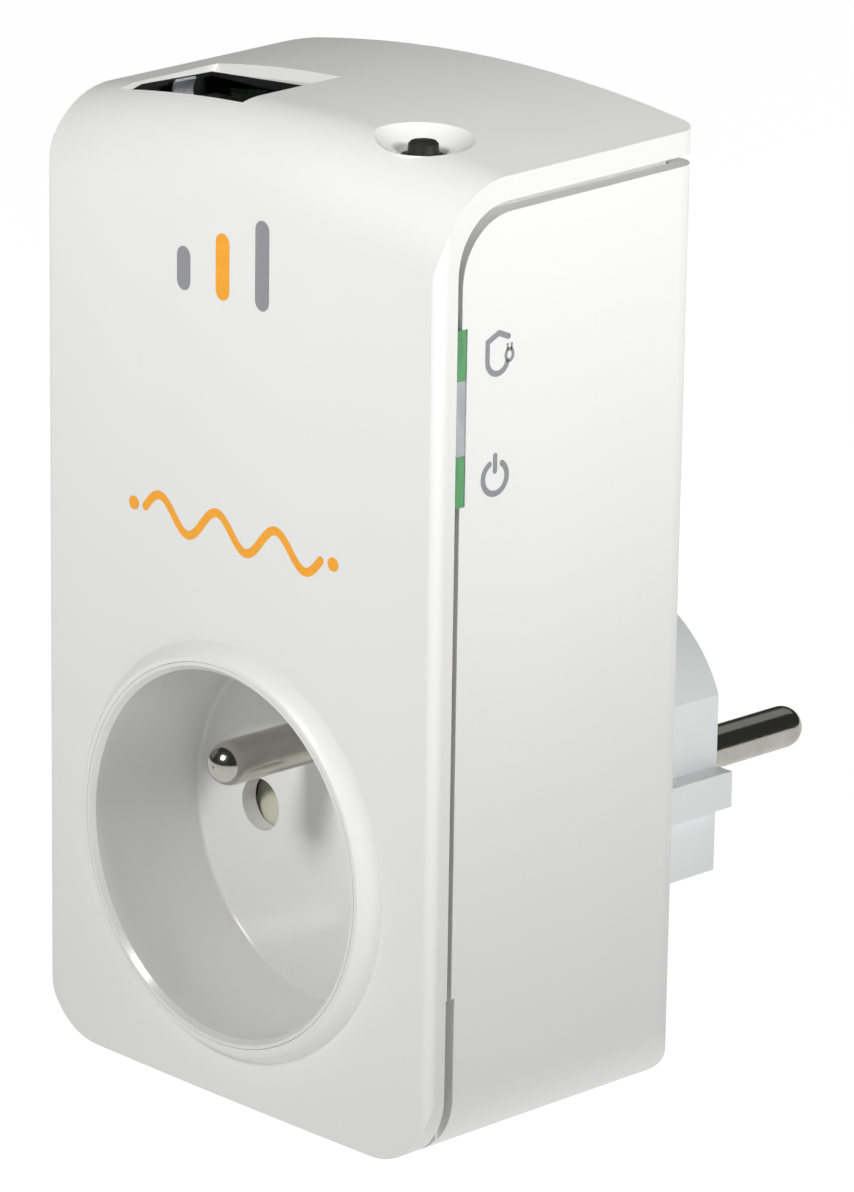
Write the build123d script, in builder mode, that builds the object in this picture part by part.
from build123d import *
import math
import os

os.makedirs("parts", exist_ok=True)

# A powerline adapter with a pass-through socket. X runs across it, Y from its front to its
# plug, Z up. The origin is on the flat base that it stands on, midway between its sides.
# All sizes in mm.

# Outer case
width = 60.0
front_y = -17.7
back_y = 19.3
depth = back_y - front_y
side_height = 104.4  # height of the side walls at the front
arch_rise = 2.45  # how far the top's middle stands above its sides
top_slope = 0.035  # rise of the top toward the back
front_bow = 0.45
back_bow = 0.15
bottom_radius = 8.2
brow_radius = 9.5  # blend from the front face to the top
back_corner_radius = 2.5  # upright corners at the back
front_corner_radius = 1.2  # upright edges beside the front face

# Split between the glossy cover and the satin housing
lip = 2.56
groove = 0.66
top_groove = 1.1
notch_height = 18.9
wall = 2.1
back_wall = 2.2
tongue_gap = 0.3
tongue = 1.2

# Socket on the front
socket_z = 27.9
recess_radius = 20.0
rim_width = 0.9
seam_gap = 0.05
collar_width = 0.95
collar_y = front_y - 2.2
floor_y = -5.0
floor_thickness = 2.0
cup_wall = 1.5
floor_fillet = 0.45
contact_spacing = 19.0
contact_hole_radius = 2.95
earth_offset = 10.0
pin_radius = 2.4
neck_radius = 2.15
socket_pin_length = 15.6

# Plug on the back
plug_radius = 16.8
plug_arc_rise = 2.4  # middle of the plug's rounded top, above the middle of its pins
plug_high = plug_radius + plug_arc_rise
plug_flat_x = 15.5
plug_face_y = 40.5
plug_wall = 2.0
plug_face_thickness = 2.6
plug_rib_reach = 17.9
plug_rib_height = 4.15
plug_rib_drop = 1.45
plug_pin_length = 19.0
plug_low = 15.6  # flat underside of the plug, below its middle
plug_foot_half = 6.0
plug_shoulder_low = 11.5  # where the flat sides end, below the plug's middle
clip_width = 8.0
clip_leg_width = 6.0
clip_thickness = 0.7
clip_recess = 1.3
earth_bore_radius = 2.5

# Jack and its opening in the top
jack_x = -15.3
jack_width = 16.0
jack_front_y = -11.2
jack_back_y = 0.6
jack_top = 103.2
jack_length = 21.0
jack_opening_width = 19.1
jack_opening_front = -11.4
jack_opening_back = 1.6

# Pairing button
dish_x = 18.0
dish_y = -8.3
button_x = 17.9
button_y = -8.5
dish_radius = 5.4
dish_depth = 1.75
button_radius = 1.6
flange_radius = 2.0
button_travel = 0.3
button_hole_radius = 2.25

# Status windows in the right-hand groove
window_length = 5.3
window_width = 1.42
window_centres = (74.1, 87.25)

# Boards
board_thickness = 1.6
board_width = 51.2
main_board_low = 57.8
main_board_high = 98.4
power_board_low = 58.4
power_board_high = 97.0
power_board_y = 12.4
main_board_y = jack_front_y - board_thickness

# Screws
screw_x = 24.4
screw_rows = (7.6, 54.0)
screw_head_radius = 2.3
screw_radius = 1.2
boss_radius = 2.9
boss_end_y = 6.0

# Shutter
shutter_travel = 6.5
pocket_depth = 3.2

socket_centre = (0, socket_z)
arch_radius = (width**2 / 4 + arch_rise**2) / (2 * arch_rise)
top_direction = Vector(0, 1, top_slope).normalized()


def facing(y):
    """Plane parallel to the front, at depth y, whose sketch axes are X and Z."""
    return Plane.XZ.offset(-y)


def top_at(x, y):
    """Height of the case's top surface behind the brow."""
    arch = side_height + arch_rise - arch_radius + math.sqrt(arch_radius**2 - x**2)
    return arch + top_slope * (y - front_y)


def finish(builder, name):
    """Names a finished piece and writes it."""
    builder.part.label = name
    export_step(builder.part, f"parts/{name}.step")


def arch_cut(y, sink):
    """Everything under the arched top at depth y, sunk by some thickness."""
    reach = width / 2 + 1
    with BuildSketch(facing(y)) as under:
        with BuildLine():
            crown = ThreePointArc(
                (-reach, top_at(reach, y) - sink), (0, top_at(0, y) - sink), (reach, top_at(reach, y) - sink)
            )
            Polyline(crown @ 1, (reach, -5), (-reach, -5), crown @ 0)
        make_face()
    return under.sketch


def behind_cover(inset, drop, corner):
    """Side view of all that lies behind the cover's lip: back from the front, down from the top."""
    line_start = side_height - drop
    reach = depth + 10
    with BuildSketch(Plane.YZ) as region:
        with BuildLine():
            Polyline(
                (front_y + inset, -5),
                (front_y + inset, line_start + top_slope * inset),
                (front_y + reach, line_start + top_slope * reach),
                (front_y + reach, -5),
                close=True,
            )
        make_face()
        fillet(region.vertices().sort_by(Axis.X)[0:2].sort_by(Axis.Y)[-1], corner)
    return region.sketch


# ---------------------------------------------------------------- case envelope


def plan(corners):
    """The case seen from above; with corners, its upright edges are rounded."""
    with BuildSketch(Plane.XY) as outline:
        with BuildLine():
            front_arc = ThreePointArc(
                (-width / 2, front_y), (0, front_y - front_bow), (width / 2, front_y)
            )
            back_arc = ThreePointArc(
                (-width / 2, back_y), (0, back_y + back_bow), (width / 2, back_y)
            )
            Line(front_arc @ 0, back_arc @ 0)
            Line(front_arc @ 1, back_arc @ 1)
        make_face()
        if corners:
            fillet(outline.vertices().group_by(Axis.Y)[0], front_corner_radius)
            fillet(outline.vertices().group_by(Axis.Y)[-1], back_corner_radius)
    return outline.sketch


with BuildPart() as envelope:
    extrude(plan(False), amount=side_height + 20)
    with BuildSketch(facing(front_y - 2)):
        with Locations((0, side_height)):
            RectangleRounded(width, 2 * side_height, bottom_radius)
    extrude(amount=-(depth + 5), mode=Mode.INTERSECT)
    extrude(
        arch_cut(front_y - 2, 0),
        amount=(depth + 5) * math.hypot(1, top_slope),
        dir=top_direction,
        mode=Mode.INTERSECT,
    )
    brow_edge = envelope.edges().filter_by(lambda e: e.center().Z > side_height).sort_by(Axis.Y)[0]
    fillet(brow_edge, brow_radius)
    extrude(plan(True), amount=side_height + 20, mode=Mode.INTERSECT)

# ---------------------------------------------------------------- front cover
cover_inner_y = front_y + lip
collar_radius = recess_radius + rim_width + seam_gap + collar_width
screw_points = [(side * screw_x, row) for side in (-1, 1) for row in screw_rows]
jack_opening_x = jack_x - 0.25
bevel_climb = 0.085
bevel_reach = jack_opening_width / 2 * (1 + bevel_climb**2) ** 0.5
jack_pocket_half_width = 11.0
jack_pocket_back = jack_opening_back + 3.4
dish_sphere = (dish_radius**2 + dish_depth**2) / (2 * dish_depth)
dish_rim_z = top_at(dish_x, dish_y)
dish_floor_z = dish_rim_z - dish_depth
guide_z = sum(window_centres) / 2
guide_length = window_centres[1] - window_centres[0] + window_length
guide_inner_x = width / 2 - 4.2
guide_depth = 2.4
board_screw_points = [(-22.5, 60.8), (22.5, 60.8), (4.0, 95.0)]
board_screw_radius = 0.8
board_boss_radius = 2.0

with BuildPart() as front_cover:
    add(envelope.part)
    extrude(behind_cover(lip, lip, brow_radius - lip), amount=width, both=True, mode=Mode.SUBTRACT)
    # The top plate follows the arch on its underside too
    with BuildSketch(facing(cover_inner_y + 3)):
        add(arch_cut(cover_inner_y + 3, lip))
        with Locations((0, side_height)):
            Rectangle(width - 7, 12, mode=Mode.INTERSECT)
    extrude(amount=-(depth - lip - 6), mode=Mode.SUBTRACT)
    # Raised collar round the socket, with a soft outer edge
    with BuildSketch(Plane.YZ):
        with BuildLine():
            crest = (collar_y, socket_z + collar_radius - 0.45)
            foot = (front_y + 0.3, socket_z + collar_radius + 2.6)
            Spline(
                crest,
                (collar_y + 0.35, socket_z + collar_radius),
                (collar_y + 1.35, socket_z + collar_radius + 0.7),
                foot,
            )
            Polyline(
                foot,
                (cover_inner_y, foot[1]),
                (cover_inner_y, socket_z + recess_radius),
                (collar_y, socket_z + recess_radius),
                crest,
            )
        make_face()
    revolve(axis=Axis((0, 0, socket_z), (0, 1, 0)))
    with BuildSketch(facing(collar_y - 1)):
        with Locations(socket_centre):
            Circle(recess_radius + rim_width + seam_gap)
    extrude(amount=collar_y - 2 - cover_inner_y, mode=Mode.SUBTRACT)
    # Jack opening with a bevel behind it that gives a finger room to press the latch
    with BuildSketch(Plane.XY.offset(side_height - lip - 3)):
        with Locations((jack_opening_x, (jack_opening_front + jack_opening_back) / 2)):
            Rectangle(jack_opening_width, jack_opening_back - jack_opening_front)
    extrude(amount=lip + 12, mode=Mode.SUBTRACT)
    with BuildSketch(Plane.YZ.offset(jack_opening_x)):
        with BuildLine():
            bevel_z = side_height + 1.4
            Polyline(
                (jack_opening_back - 1, bevel_z),
                (jack_opening_back, bevel_z),
                (jack_opening_back + 4, bevel_z + 4),
                (jack_opening_back - 1, bevel_z + 4),
                close=True,
            )
        make_face()
    extrude(amount=bevel_reach, dir=(1, 0, bevel_climb), both=True, mode=Mode.SUBTRACT)
    # The plate is thinned to a narrow lip from below, beside and behind the jack opening
    with BuildSketch(Plane.YZ.offset(jack_x)):
        with BuildLine():
            Polyline(
                (jack_opening_front + 0.2, jack_top - 8),
                (jack_opening_front + 0.2, side_height - 0.2),
                (front_y + brow_radius, side_height),
                (jack_pocket_back, side_height + 0.3),
                (jack_pocket_back, jack_top - 8),
                close=True,
            )
        make_face()
    extrude(amount=jack_pocket_half_width, both=True, mode=Mode.SUBTRACT)
    # Button dish and its hole
    with Locations((dish_x, dish_y, dish_rim_z - dish_depth - 0.35)):
        Cylinder(dish_radius - 1.2, 3.2, align=(Align.CENTER, Align.CENTER, Align.CENTER))
    with Locations((dish_x, dish_y, dish_rim_z + dish_sphere - dish_depth)):
        Sphere(dish_sphere, mode=Mode.SUBTRACT)
    with Locations((button_x, button_y, dish_rim_z - 2)):
        Cylinder(button_hole_radius, 10, mode=Mode.SUBTRACT)
    # Rib that locates the housing wall and closes the groove
    rib_top = side_height - 5.4
    rib_depth = 3.4
    rib_front = cover_inner_y + 2.6
    rib_outer = width - 2 * (wall + tongue_gap)
    with BuildSketch(facing(cover_inner_y)):
        with Locations((0, side_height)):
            RectangleRounded(rib_outer, 2 * (side_height - wall - tongue_gap), bottom_radius - wall)
            RectangleRounded(
                rib_outer - 2 * tongue,
                2 * (side_height - wall - tongue_gap - tongue),
                bottom_radius - wall - tongue,
                mode=Mode.SUBTRACT,
            )
        with Locations((0, rib_top / 2)):
            Rectangle(width, rib_top, mode=Mode.INTERSECT)
    extrude(amount=-rib_depth)
    rib_back = back_y - back_wall - tongue_gap
    with BuildSketch(Plane.XY.offset(rib_top - 3)):
        with Locations((0, (rib_front + rib_back) / 2)):
            Rectangle(rib_outer, rib_back - rib_front)
        with Locations((0, (rib_front + rib_back - tongue) / 2)):
            Rectangle(rib_outer - 2 * tongue, rib_back - rib_front - tongue, mode=Mode.SUBTRACT)
    extrude(amount=side_height - rib_top + 1.8)
    # Screw bosses
    with BuildSketch(facing(cover_inner_y)):
        with Locations(*screw_points):
            Circle(boss_radius)
    extrude(amount=cover_inner_y - boss_end_y)
    with BuildSketch(facing(boss_end_y)):
        with Locations(*screw_points):
            Circle(screw_radius)
    extrude(amount=13, mode=Mode.SUBTRACT)
    # Short bosses that carry the main board
    with BuildSketch(facing(cover_inner_y)):
        with Locations(*board_screw_points):
            Circle(board_boss_radius)
    extrude(amount=cover_inner_y - main_board_y)
    with BuildSketch(facing(main_board_y)):
        with Locations(*board_screw_points):
            Circle(board_screw_radius)
    extrude(amount=2.2, mode=Mode.SUBTRACT)
    # Gap in the rib for the light guide, and the notch in the lip near the foot
    with Locations((guide_inner_x + guide_depth / 2, cover_inner_y + 2.5, guide_z)):
        Box(guide_depth + 0.4, 5, guide_length + 0.6, mode=Mode.SUBTRACT)
    for side in (-1, 1):
        with Locations((side * width / 2, cover_inner_y, notch_height / 2)):
            Box(2 * wall, 0.3, notch_height, mode=Mode.SUBTRACT)
finish(front_cover, "front_cover")

# ---------------------------------------------------------------- rear housing


def plug_outline(grow):
    """Section of the plug body: a round top, flat sides with a rib on each, sloped underside."""
    flat_x = plug_flat_x + grow
    radius = plug_radius + grow
    arc_middle_z = socket_z + plug_arc_rise
    arc_end_z = arc_middle_z + math.sqrt(radius**2 - flat_x**2)
    low_z = socket_z - plug_low - grow
    shoulder_z = socket_z - plug_shoulder_low - grow
    with BuildSketch(Plane.XZ) as section:
        with BuildLine():
            top = ThreePointArc((-flat_x, arc_end_z), (0, arc_middle_z + radius), (flat_x, arc_end_z))
            Polyline(
                top @ 1,
                (flat_x, shoulder_z),
                (plug_foot_half, low_z),
                (-plug_foot_half, low_z),
                (-flat_x, shoulder_z),
                top @ 0,
            )
        make_face()
        with Locations((0, socket_z - plug_rib_drop)):
            Rectangle(2 * (plug_rib_reach + grow), plug_rib_height + 2 * grow)
    return section.sketch


housing_front = front_y + lip + groove
screw_seat_y = 9.0

with BuildPart() as rear_housing:
    add(envelope.part)
    extrude(
        behind_cover(lip + groove, lip + top_groove, brow_radius - lip),
        amount=width,
        both=True,
        mode=Mode.INTERSECT,
    )
    with BuildSketch(facing(front_y)):
        with Locations((0, side_height + wall)):
            RectangleRounded(width - 2 * wall, 2 * side_height, bottom_radius - wall)
    extrude(amount=-(depth - back_wall), mode=Mode.SUBTRACT)
    with BuildSketch(facing(back_y - back_wall - 1)):
        add(plug_outline(0.15))
    extrude(amount=-(back_wall + 4), mode=Mode.SUBTRACT)
    # Screw pillars
    with BuildSketch(facing(boss_end_y + 0.3)):
        with Locations(*screw_points):
            Circle(boss_radius + 0.6)
    extrude(amount=-(back_y - back_wall - boss_end_y - 0.3))
    with BuildSketch(facing(screw_seat_y)):
        with Locations(*screw_points):
            Circle(screw_head_radius + 0.3)
    extrude(amount=-(back_y - screw_seat_y + 2), mode=Mode.SUBTRACT)
    with BuildSketch(facing(boss_end_y)):
        with Locations(*screw_points):
            Circle(screw_radius + 0.15)
    extrude(amount=-(screw_seat_y - boss_end_y + 1), mode=Mode.SUBTRACT)
    # Pocket for the light guide, and the notch near the foot
    with Locations((width / 2, cover_inner_y + window_width / 2, guide_z)):
        Box(2 * (width / 2 - guide_inner_x), window_width, guide_length, mode=Mode.SUBTRACT)
    for side in (-1, 1):
        with Locations((side * width / 2, housing_front, notch_height / 2)):
            Box(2 * wall, 0.9, notch_height, mode=Mode.SUBTRACT)
finish(rear_housing, "rear_housing")

# ---------------------------------------------------------------- socket cup
cup_rim = recess_radius + rim_width
with BuildPart() as socket_cup:
    with BuildSketch(Plane.YZ):
        with BuildLine():
            Polyline(
                (floor_y, socket_z),
                (floor_y, socket_z + recess_radius - 0.5),
                (collar_y + 0.5, socket_z + recess_radius),
                (collar_y, socket_z + recess_radius + 0.5),
                (collar_y, socket_z + cup_rim),
                (cover_inner_y, socket_z + cup_rim),
                (cover_inner_y, socket_z + recess_radius + cup_wall),
                (floor_y + floor_thickness, socket_z + recess_radius + cup_wall - 0.5),
                (floor_y + floor_thickness, socket_z),
                close=True,
            )
        make_face()
    revolve(axis=Axis((0, 0, socket_z), (0, 1, 0)))
    floor_ring = socket_cup.edges().filter_by(GeomType.CIRCLE).filter_by(
        lambda e: abs(e.center().Y - floor_y) < 0.01
    )
    fillet(floor_ring, floor_fillet)
    with BuildSketch(facing(floor_y)):
        with Locations(socket_centre):
            with GridLocations(contact_spacing, 1, 2, 1):
                Circle(contact_hole_radius)
        with Locations((0, socket_z + earth_offset)):
            Circle(neck_radius)
    extrude(amount=-floor_thickness, mode=Mode.SUBTRACT)
finish(socket_cup, "socket_cup")


def round_pin(tip_y, face_y, shoulder_y, tail_y, axis_x, axis_z, tail_radius):
    """Contact pin along Y: a round end and shank, a neck held in the plastic, a thinner tail."""
    dome_y = tip_y + math.copysign(pin_radius, tail_y - tip_y)
    mid_y = tip_y + (dome_y - tip_y) * (1 - math.cos(math.pi / 4))
    with BuildPart() as pin:
        with BuildSketch(Plane.YZ.offset(axis_x)):
            with BuildLine():
                ThreePointArc(
                    (dome_y, axis_z + pin_radius),
                    (mid_y, axis_z + pin_radius * math.sin(math.pi / 4)),
                    (tip_y, axis_z),
                )
                Polyline(
                    (dome_y, axis_z + pin_radius),
                    (face_y, axis_z + pin_radius),
                    (face_y, axis_z + neck_radius),
                    (shoulder_y, axis_z + neck_radius),
                    (shoulder_y, axis_z + tail_radius),
                    (tail_y, axis_z + tail_radius),
                    (tail_y, axis_z),
                    (tip_y, axis_z),
                )
            make_face()
        revolve(axis=Axis((axis_x, 0, axis_z), (0, 1, 0)))
    return pin


earth_z = socket_z + earth_offset
cup_back_y = floor_y + floor_thickness
earth_tail_y = cup_back_y + 8
earth_tail_radius = 1.6
socket_earth_pin = round_pin(
    floor_y - socket_pin_length, floor_y, cup_back_y, earth_tail_y, 0, earth_z, earth_tail_radius
)
finish(socket_earth_pin, "socket_earth_pin")

# ---------------------------------------------------------------- plug body
plug_inner_y = plug_face_y - plug_face_thickness
sleeve_length = 15.0
clip_leg_y = plug_inner_y - sleeve_length
with BuildPart() as plug_body:
    flange_y = back_y - back_wall - 1.6
    with BuildSketch(facing(flange_y)):
        add(plug_outline(0))
    extrude(amount=-(plug_face_y - flange_y))
    fillet(plug_body.faces().sort_by(Axis.Y)[-1].edges(), 0.5)
    with BuildSketch(facing(flange_y)):
        add(plug_outline(1.5))
    extrude(amount=-1.6)
    with BuildSketch(facing(flange_y)):
        add(plug_outline(-plug_wall))
    extrude(amount=-(plug_face_y - plug_face_thickness - flange_y), mode=Mode.SUBTRACT)
    with BuildSketch(facing(plug_face_y - plug_face_thickness)):
        with Locations(socket_centre):
            with GridLocations(contact_spacing, 1, 2, 1):
                Circle(neck_radius)
        with Locations((0, socket_z + earth_offset)):
            Circle(earth_bore_radius + 0.6)
    extrude(amount=-plug_face_thickness, mode=Mode.SUBTRACT)
    # Recesses and slots for the two side earth clips
    for outer_z, step in ((socket_z + plug_high, 1), (socket_z - plug_low, -1)):
        with Locations((0, (clip_leg_y + plug_face_y + 1) / 2 - 0.2, outer_z)):
            Box(clip_width + 0.6, plug_face_y + 1 - clip_leg_y, 2 * clip_recess, mode=Mode.SUBTRACT)
        with Locations((0, clip_leg_y + clip_thickness / 2, outer_z - step * plug_wall)):
            Box(clip_leg_width + 0.2, clip_thickness + 0.2, 3 * plug_wall, mode=Mode.SUBTRACT)
finish(plug_body, "plug_body")

pin_tail_y = back_y + 3.5
pin_tail_radius = 1.5
for name, side in (("plug_pin_left", -1), ("plug_pin_right", 1)):
    plug_pin = round_pin(
        plug_face_y + plug_pin_length,
        plug_face_y,
        plug_inner_y,
        pin_tail_y,
        side * contact_spacing / 2,
        socket_z,
        pin_tail_radius,
    )
    finish(plug_pin, name)

with BuildPart() as plug_earth_sleeve:
    with BuildSketch(facing(plug_inner_y)):
        with Locations((0, earth_z)):
            Circle(earth_bore_radius + 0.8)
            Circle(earth_bore_radius, mode=Mode.SUBTRACT)
    extrude(amount=sleeve_length)
finish(plug_earth_sleeve, "plug_earth_sleeve")


def side_clip(outer_z, step):
    """Bowed earth spring along the plug's top or underside, with a leg into the plug."""
    low = outer_z - step * (clip_recess - 0.1)
    end_y = plug_face_y - 1.0
    mid_y = (clip_leg_y + end_y) / 2
    bow = 0.55 * step
    with BuildPart() as clip:
        with BuildSketch(Plane.YZ):
            with BuildLine():
                inner = ThreePointArc((clip_leg_y, low), (mid_y, low + bow), (end_y, low))
                high = low + step * clip_thickness
                outer = ThreePointArc((clip_leg_y, high), (mid_y, high + bow), (end_y, high))
                Line(inner @ 0, outer @ 0)
                Line(inner @ 1, outer @ 1)
            make_face()
        extrude(amount=clip_width / 2, both=True)
        with BuildSketch(Plane.XY.offset(low + step * clip_thickness / 2)):
            with Locations((0, clip_leg_y + clip_thickness / 2)):
                Rectangle(clip_leg_width, clip_thickness)
        extrude(amount=-step * clip_leg_length)
    return clip


clip_leg_length = 3.9
finish(side_clip(socket_z + plug_high, 1), "plug_earth_clip_top")
finish(side_clip(socket_z - plug_low, -1), "plug_earth_clip_bottom")

# ---------------------------------------------------------------- contacts behind the socket
block_end_y = flange_y - 0.3
block_low = socket_z - 19.5
block_high = socket_z + 6.7
pocket_width = 28.4
pocket_low = block_low + 1.4
pocket_high = block_high - 1.2
pocket_end_y = cup_back_y + pocket_depth
cell_width = 8.6
cell_height = 9.6
tab_width = 3.0
tab_y = block_end_y - 1.0
strip_thickness = 0.8

with BuildPart() as contact_block:
    with BuildSketch(facing(cup_back_y)):
        with Locations((0, (block_low + block_high) / 2)):
            RectangleRounded(pocket_width + 3, block_high - block_low, 2)
    extrude(amount=cup_back_y - block_end_y)
    with BuildSketch(facing(cup_back_y)):
        with Locations((0, (pocket_low + pocket_high) / 2)):
            Rectangle(pocket_width, pocket_high - pocket_low)
    extrude(amount=-pocket_depth, mode=Mode.SUBTRACT)
    with BuildSketch(facing(cup_back_y)):
        with Locations(socket_centre):
            with GridLocations(contact_spacing, 1, 2, 1):
                Rectangle(cell_width, cell_height)
    extrude(amount=cup_back_y - block_end_y, mode=Mode.SUBTRACT)
    with BuildSketch(facing(tab_y - 0.2)):
        with Locations((0, block_high)):
            with GridLocations(contact_spacing, 1, 2, 1):
                Rectangle(tab_width + 0.4, 8)
    extrude(amount=-2, mode=Mode.SUBTRACT)
finish(contact_block, "contact_block")


def strip(low, high):
    """Adds a box between two opposite corners to the piece being built."""
    middle = [(a + b) / 2 for a, b in zip(low, high)]
    size = [b - a for a, b in zip(low, high)]
    with Locations(tuple(middle)):
        Box(*size)


def contact(side):
    """Two spring leaves, a bridge with a wire tab, and a strap to the plug pin's tail."""
    axis_x = side * contact_spacing / 2
    leaf_gap = 2.25
    leaf = 0.6
    half_height = 2.6
    eye_y = pin_tail_y + 1.0
    with BuildPart() as clip:
        for edge in (-leaf_gap - leaf, leaf_gap):
            strip(
                (axis_x + edge, pocket_end_y + 0.8, socket_z - half_height),
                (axis_x + edge + leaf, tab_y, socket_z + half_height),
            )
        strip(
            (axis_x - leaf_gap - leaf, tab_y, socket_z - half_height),
            (axis_x + leaf_gap + leaf, tab_y + strip_thickness, socket_z + half_height),
        )
        strip(
            (axis_x - tab_width / 2, tab_y, socket_z + half_height),
            (axis_x + tab_width / 2, tab_y + strip_thickness, block_high + 3.6),
        )
        strip(
            (axis_x - 2, tab_y + strip_thickness, socket_z + half_height - strip_thickness),
            (axis_x + 2, eye_y, socket_z + half_height),
        )
        strip(
            (axis_x - 2.6, eye_y, socket_z - half_height),
            (axis_x + 2.6, eye_y + strip_thickness, socket_z + half_height),
        )
        with BuildSketch(facing(eye_y - 0.1)):
            with Locations((axis_x, socket_z)):
                Circle(pin_tail_radius)
        extrude(amount=-(strip_thickness + 0.2), mode=Mode.SUBTRACT)
    return clip


for name, side in (("contact_left", -1), ("contact_right", 1)):
    finish(contact(side), name)

with BuildPart() as earth_strap:
    eye_y = earth_tail_y - 1.6
    rise_z = earth_z + 3.4
    strip((-3.2, eye_y, earth_z - 1.0), (3.2, eye_y + strip_thickness, rise_z + strip_thickness))
    with BuildSketch(facing(eye_y)):
        with Locations((0, earth_z)):
            Circle(3.2)
    extrude(amount=-strip_thickness)
    strip((-2.5, eye_y, rise_z), (2.5, clip_leg_y, rise_z + strip_thickness))
    plate_y = clip_leg_y - strip_thickness
    strip((-4, plate_y, socket_z - plug_low + 2.6), (4, clip_leg_y, socket_z + plug_high - 3.2))
    for hole_y, hole_radius in ((eye_y, earth_tail_radius), (plate_y, earth_bore_radius + 0.2)):
        with BuildSketch(facing(hole_y - 0.1)):
            with Locations((0, earth_z)):
                Circle(hole_radius)
        extrude(amount=-(strip_thickness + 0.2), mode=Mode.SUBTRACT)
finish(earth_strap, "earth_strap")

# ---------------------------------------------------------------- shutter and its spring
blade_width = 7.6
blade_high = socket_z + 3.3
blade_low = socket_z - 3.8
bar_low = blade_low - 4.2
bar_half_width = 13.2
shutter_front = cup_back_y + 0.3
shutter_back = pocket_end_y - 0.3

with BuildPart() as socket_shutter:
    strip((-bar_half_width, shutter_front, bar_low), (bar_half_width, shutter_back, blade_low))
    for side in (-1, 1):
        axis_x = side * contact_spacing / 2
        strip(
            (axis_x - blade_width / 2, shutter_front, blade_low),
            (axis_x + blade_width / 2, shutter_back, blade_high),
        )
    # Ramps that turn the plug pins' push into a downward slide
    with BuildSketch(Plane.YZ):
        with BuildLine():
            Polyline(
                (shutter_front, blade_low + 1),
                (shutter_back - 0.8, blade_high),
                (shutter_front, blade_high),
                close=True,
            )
        make_face()
    extrude(amount=width / 2, both=True, mode=Mode.SUBTRACT)
finish(socket_shutter, "socket_shutter")

spring_turns = 6
spring_wire = 0.18
spring_length = bar_low - pocket_low - 2 * spring_wire - 0.1
with BuildPart() as shutter_spring:
    with BuildLine():
        coil = Helix(
            spring_length / spring_turns,
            spring_length,
            1.05,
            center=(0, (shutter_front + shutter_back) / 2, pocket_low + spring_wire + 0.05),
        )
    with BuildSketch(Plane(origin=coil @ 0, z_dir=coil % 0)):
        Circle(spring_wire)
    sweep(is_frenet=True)
finish(shutter_spring, "shutter_spring")

# ---------------------------------------------------------------- status windows and light guide
window_inner_x = width / 2 - 1.8
window_outer_x = width / 2 - 0.05
window_front = cover_inner_y + 0.04
window_back = cover_inner_y + window_width - 0.04
for name, middle in zip(("status_window_lower", "status_window_upper"), window_centres):
    with BuildPart() as window:
        strip(
            (window_inner_x, window_front, middle - window_length / 2),
            (window_outer_x, window_back, middle + window_length / 2),
        )
        fillet(window.edges().filter_by(Axis.Z).sort_by(Axis.X)[-2:], 0.2)
    finish(window, name)

with BuildPart() as light_guide:
    strip(
        (guide_inner_x, window_front, guide_z - guide_length / 2),
        (window_inner_x, window_back, guide_z + guide_length / 2),
    )
    strip(
        (window_inner_x, window_front, window_centres[0] + window_length / 2),
        (window_outer_x - 0.1, window_back, window_centres[1] - window_length / 2),
    )
    for middle in window_centres:
        strip(
            (guide_inner_x, window_back, middle - 1.2),
            (guide_inner_x + guide_depth - 0.4, main_board_y + board_thickness + 1.2, middle + 1.2),
        )
finish(light_guide, "light_guide")

# ---------------------------------------------------------------- pairing button and its switch
switch_top = 97.2
with BuildPart() as pairing_button:
    stem_low = switch_top + button_travel + 0.1
    flange_low = dish_floor_z - 0.4
    flange_high = dish_floor_z + 0.4
    cap_high = dish_rim_z - 0.05
    with BuildSketch(Plane.XZ.offset(-button_y)):
        with BuildLine():
            Polyline(
                (button_x, stem_low),
                (button_x + button_radius - 0.3, stem_low),
                (button_x + button_radius - 0.3, flange_low),
                (button_x + flange_radius, flange_low),
                (button_x + flange_radius, flange_high),
                (button_x + button_radius, flange_high + 0.15),
                (button_x + button_radius - 0.05, cap_high - 0.25),
                (button_x + button_radius - 0.3, cap_high),
                (button_x, cap_high),
                close=True,
            )
        make_face()
    revolve(axis=Axis((button_x, button_y, 0), (0, 0, 1)))
finish(pairing_button, "pairing_button")

with BuildPart() as pairing_switch:
    board_back = main_board_y + board_thickness
    strip(
        (button_x - 3.1, board_back, switch_top - 4.6),
        (button_x + 3.1, board_back + 6, switch_top - 0.5),
    )
    with Locations((button_x, button_y, switch_top - 0.5)):
        Cylinder(1.7, 0.5, align=(Align.CENTER, Align.CENTER, Align.MIN))
finish(pairing_switch, "pairing_switch")

# ---------------------------------------------------------------- network jack
cavity_width = 11.9
cavity_front = jack_front_y + 1.4
cavity_back = cavity_front + 7.6
cavity_depth = 14.5
with BuildPart() as jack_housing:
    strip(
        (jack_x - jack_width / 2, jack_front_y, jack_top - jack_length),
        (jack_x + jack_width / 2, jack_back_y, jack_top),
    )
    with BuildSketch(Plane.XY.offset(jack_top)):
        with Locations((jack_x, (cavity_front + cavity_back) / 2)):
            Rectangle(cavity_width, cavity_back - cavity_front)
        with Locations((jack_x, cavity_back)):
            Rectangle(6.2, 2 * (jack_back_y - cavity_back - 0.8))
    extrude(amount=-cavity_depth, mode=Mode.SUBTRACT)
    chamfer(jack_housing.faces().sort_by(Axis.Z)[-1].inner_wires()[0].edges(), 0.3)
finish(jack_housing, "jack_housing")

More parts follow.
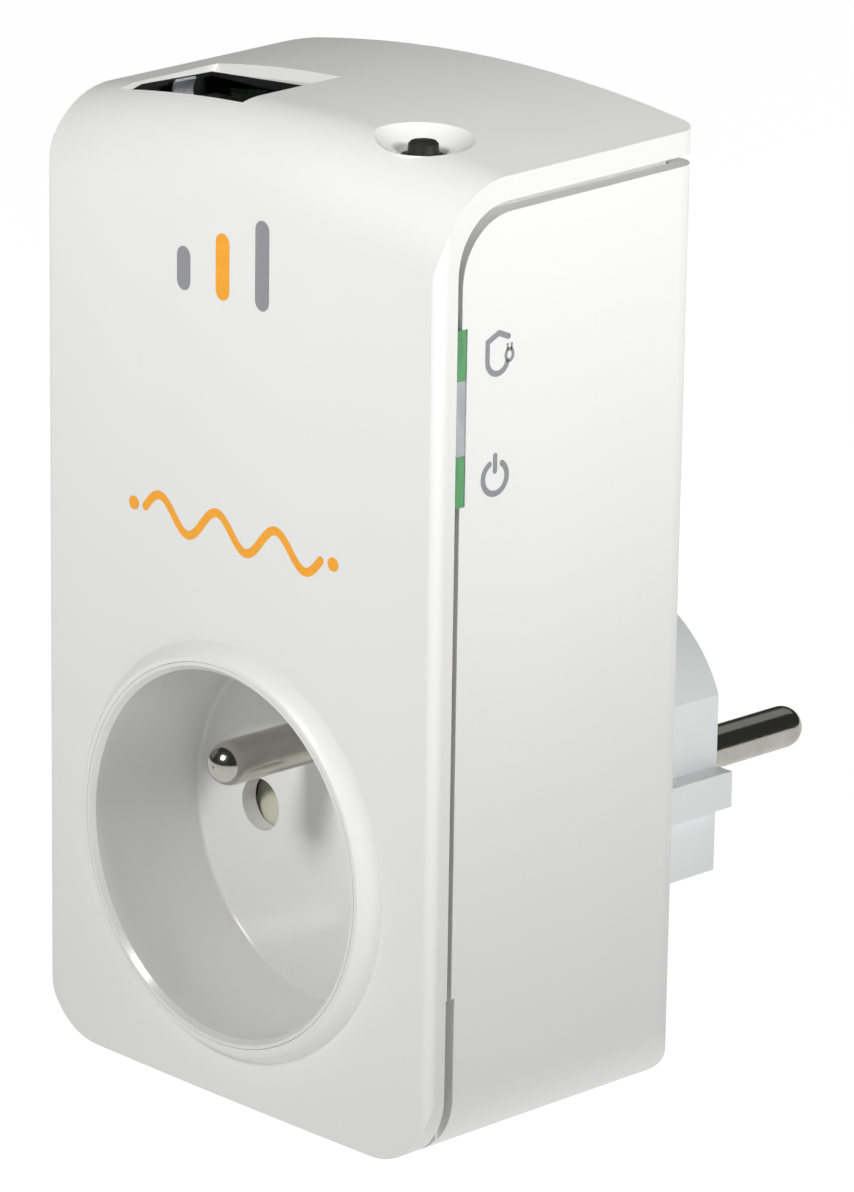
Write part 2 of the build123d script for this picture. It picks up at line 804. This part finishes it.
shield_thickness = 0.3
finger_y = -3.2
finger_width = 2.8
finger_z = jack_top + 0.55
with BuildPart() as jack_shield:
    outer_x = jack_width / 2 + shield_thickness
    strip(
        (jack_x - outer_x, jack_front_y, jack_top - jack_length),
        (jack_x + outer_x, jack_back_y + shield_thickness, jack_top - 0.4),
    )
    with Locations((jack_x, jack_back_y, jack_top)):
        Box(
            jack_width,
            4 * jack_width,
            3 * jack_length,
            align=(Align.CENTER, Align.MAX, Align.CENTER),
            mode=Mode.SUBTRACT,
        )
    # Sprung fingers that touch the rim of the opening
    for side in (-1, 1):
        root_x = jack_x + side * outer_x
        with BuildSketch(facing(finger_y)):
            with BuildLine():
                finger = Spline(
                    (root_x, finger_z - 4.4),
                    (root_x + side * 0.55, finger_z - 2.0),
                    (root_x + side * 0.95, finger_z + 0.3),
                    (root_x + side * 0.35, finger_z + 1.5),
                )
                inner_finger = Spline(
                    (root_x - side * 0.2, finger_z - 4.2),
                    (root_x + side * 0.3, finger_z - 2.0),
                    (root_x + side * 0.68, finger_z + 0.2),
                    (root_x + side * 0.2, finger_z + 1.25),
                )
                Line(finger @ 0, inner_finger @ 0)
                Line(finger @ 1, inner_finger @ 1)
            make_face()
        extrude(amount=finger_width / 2, both=True)
finish(jack_shield, "jack_shield")

contact_count = 8
contact_pitch = 1.02
with BuildPart() as jack_contacts:
    for index in range(contact_count):
        wire_x = jack_x + (index - (contact_count - 1) / 2) * contact_pitch
        with BuildLine():
            wire = Polyline(
                (wire_x, cavity_front + 0.25, jack_top - 1.6),
                (wire_x, cavity_front + 0.25, jack_top - 2.6),
                (wire_x, cavity_front + 3.0, jack_top - 9.5),
            )
        with BuildSketch(Plane(origin=wire @ 0, z_dir=wire % 0)):
            Rectangle(0.42, 0.42)
        sweep(transition=Transition.RIGHT)
finish(jack_contacts, "jack_contacts")

# ---------------------------------------------------------------- main board and what it carries
with BuildPart() as main_board:
    with BuildSketch(facing(main_board_y)):
        with Locations((0, (main_board_low + main_board_high) / 2)):
            RectangleRounded(board_width, main_board_high - main_board_low, 1.0)
        with Locations(*board_screw_points):
            Circle(board_screw_radius + 0.1, mode=Mode.SUBTRACT)
    extrude(amount=-board_thickness)
finish(main_board, "main_board")


def block_on_board(name, middle, size, corner=0.0):
    """Part on the back of the main board: middle (x, z) and size (x, height off the board, z)."""
    with BuildPart() as block:
        with Locations((middle[0], board_back, middle[1])):
            Box(*size, align=(Align.CENTER, Align.MIN, Align.CENTER))
        if corner:
            chamfer(block.faces().sort_by(Axis.Y)[-1].edges(), corner)
    finish(block, name)


processor_middle = (2.0, 70.0)
processor_height = 1.4
block_on_board("processor", processor_middle, (14, processor_height, 14), 0.2)
block_on_board("network_chip", (-15.0, 65.0), (9, 1.2, 9), 0.2)
block_on_board("memory_chip", (17.5, 70.0), (8, 1.1, 11.5), 0.2)
block_on_board("crystal", (-4.0, 83.0), (3.2, 1.3, 5.0), 0.25)
block_on_board("jack_magnetics", (jack_x, 76.2), (12.7, 5.6, 9.4), 0.4)

with BuildPart() as heat_sink:
    sink_size = 20.0
    sink_y = board_back + processor_height
    fin_count = 7
    with Locations((processor_middle[0], sink_y, processor_middle[1])):
        Box(sink_size, 1.4, sink_size, align=(Align.CENTER, Align.MIN, Align.CENTER))
        with GridLocations(sink_size / fin_count * 1.1, 1, fin_count, 1):
            Box(0.9, 5.6, sink_size, align=(Align.CENTER, Align.MIN, Align.CENTER))
finish(heat_sink, "heat_sink")


def wound_core(name, middle, size, base_y, outward):
    """Ferrite core round a wound bobbin, standing off a board along Y."""
    with BuildPart() as core:
        with Locations((middle[0], base_y + outward * size[1] / 2, middle[1])):
            Box(*size)
            Box(size[0] * 0.62, size[1] + 1, size[2] * 0.5, mode=Mode.SUBTRACT)
            Box(size[0] * 0.84, size[1] * 0.62, size[2] * 0.86)
    finish(core, name)


wound_core("coupling_transformer", (18.0, 83.0), (9.5, 8.0, 9.0), board_back, 1)

with BuildPart() as status_lamps:
    for middle in window_centres:
        strip(
            (board_width / 2 - 2.0, board_back, middle - 0.8),
            (board_width / 2 - 0.4, board_back + 0.8, middle + 0.8),
        )
finish(status_lamps, "status_lamps")

with BuildPart() as board_screws:
    for screw_at in board_screw_points:
        with Locations((screw_at[0], board_back, screw_at[1])):
            Cylinder(1.7, 1.1, rotation=(-90, 0, 0), align=(Align.CENTER, Align.CENTER, Align.MIN))
            Cylinder(
                board_screw_radius, 3.5, rotation=(90, 0, 0), align=(Align.CENTER, Align.CENTER, Align.MIN)
            )
finish(board_screws, "board_screws")

# ---------------------------------------------------------------- mains board and what it carries
with BuildPart() as power_board:
    with BuildSketch(facing(power_board_y)):
        with Locations((0, (power_board_low + power_board_high) / 2)):
            RectangleRounded(board_width, power_board_high - power_board_low, 1.0)
    extrude(amount=-board_thickness)
finish(power_board, "power_board")

wound_core("power_transformer", (0.0, 73.0), (16.0, 12.5, 14.0), power_board_y, -1)
wound_core("line_choke", (-18.0, 80.5), (12.0, 11.0, 13.0), power_board_y, -1)


def capacitor(radius, low_z, high_z, axis_x):
    """Adds a can lying along Z against the mains board, with its rolled groove."""
    axis_y = power_board_y - radius
    with Locations((axis_x, axis_y, low_z)):
        Cylinder(radius, high_z - low_z, align=(Align.CENTER, Align.CENTER, Align.MIN))
    with Locations((axis_x, axis_y, low_z + 2.0)):
        Torus(radius + 0.2, 0.55, mode=Mode.SUBTRACT)


with BuildPart() as bulk_capacitor:
    capacitor(5.0, 61.5, 79.5, 17.5)
finish(bulk_capacitor, "bulk_capacitor")

with BuildPart() as output_capacitors:
    for axis_x in (13.5, 21.0):
        capacitor(3.15, 83.0, 94.0, axis_x)
finish(output_capacitors, "output_capacitors")

with BuildPart() as safety_capacitor:
    strip((-24.5, power_board_y - 6.5, 60.0), (-11.5, power_board_y, 71.0))
    fillet(safety_capacitor.faces().sort_by(Axis.Y)[0].edges(), 0.5)
finish(safety_capacitor, "safety_capacitor")

with BuildPart() as fuse:
    with Locations((-4.5, power_board_y - 2.2, 61.5)):
        Cylinder(2.2, 8.5, rotation=(0, 90, 0))
finish(fuse, "fuse")

with BuildPart() as varistor:
    with Locations((7.0, power_board_y, 62.6)):
        Box(7.6, 6.0, 3.2, align=(Align.CENTER, Align.MAX, Align.CENTER))
    fillet(varistor.edges().filter_by(Axis.Z).group_by(Axis.Y)[0], 2.8)
finish(varistor, "varistor")

with BuildPart() as board_header:
    pin_count = 6
    pin_pitch = 2.0
    header_x = 4.0
    header_z = 89.0
    gap_y = power_board_y - board_back
    for base_y, outward in ((board_back, Align.MIN), (power_board_y, Align.MAX)):
        with Locations((header_x, base_y, header_z)):
            Box(pin_count * pin_pitch, 2.5, 2.5, align=(Align.CENTER, outward, Align.CENTER))
    with Locations((header_x, board_back + gap_y / 2, header_z)):
        with GridLocations(pin_pitch, 1, pin_count, 1):
            Box(0.5, gap_y, 0.5)
finish(board_header, "board_header")

# ---------------------------------------------------------------- mains wires
wire_radius = 0.8
for name, side in (("wire_left", -1), ("wire_right", 1)):
    start_x = side * contact_spacing / 2
    end_x = start_x + side * 3.0
    wire_y = tab_y - wire_radius
    with BuildPart() as mains_wire:
        with BuildLine():
            route = FilletPolyline(
                (start_x, wire_y, block_high + 0.6),
                (start_x, wire_y, block_high + 9),
                (end_x, wire_y - 5, block_high + 17),
                (end_x, wire_y - 5, power_board_low + 0.2),
                radius=3.0,
            )
        with BuildSketch(Plane(origin=route @ 0, z_dir=route % 0)):
            Circle(wire_radius)
        sweep()
    finish(mains_wire, name)

# ---------------------------------------------------------------- case screws
with BuildPart() as case_screws:
    for screw_at in screw_points:
        with Locations((screw_at[0], screw_seat_y, screw_at[1])):
            Cylinder(
                screw_head_radius, 1.6, rotation=(-90, 0, 0), align=(Align.CENTER, Align.CENTER, Align.MIN)
            )
            Cylinder(
                screw_radius, 14.5, rotation=(90, 0, 0), align=(Align.CENTER, Align.CENTER, Align.MIN)
            )
        with Locations((screw_at[0], screw_seat_y + 1.6, screw_at[1])):
            Box(2.6, 1.2, 0.6, mode=Mode.SUBTRACT)
            Box(0.6, 1.2, 2.6, mode=Mode.SUBTRACT)
finish(case_screws, "case_screws")
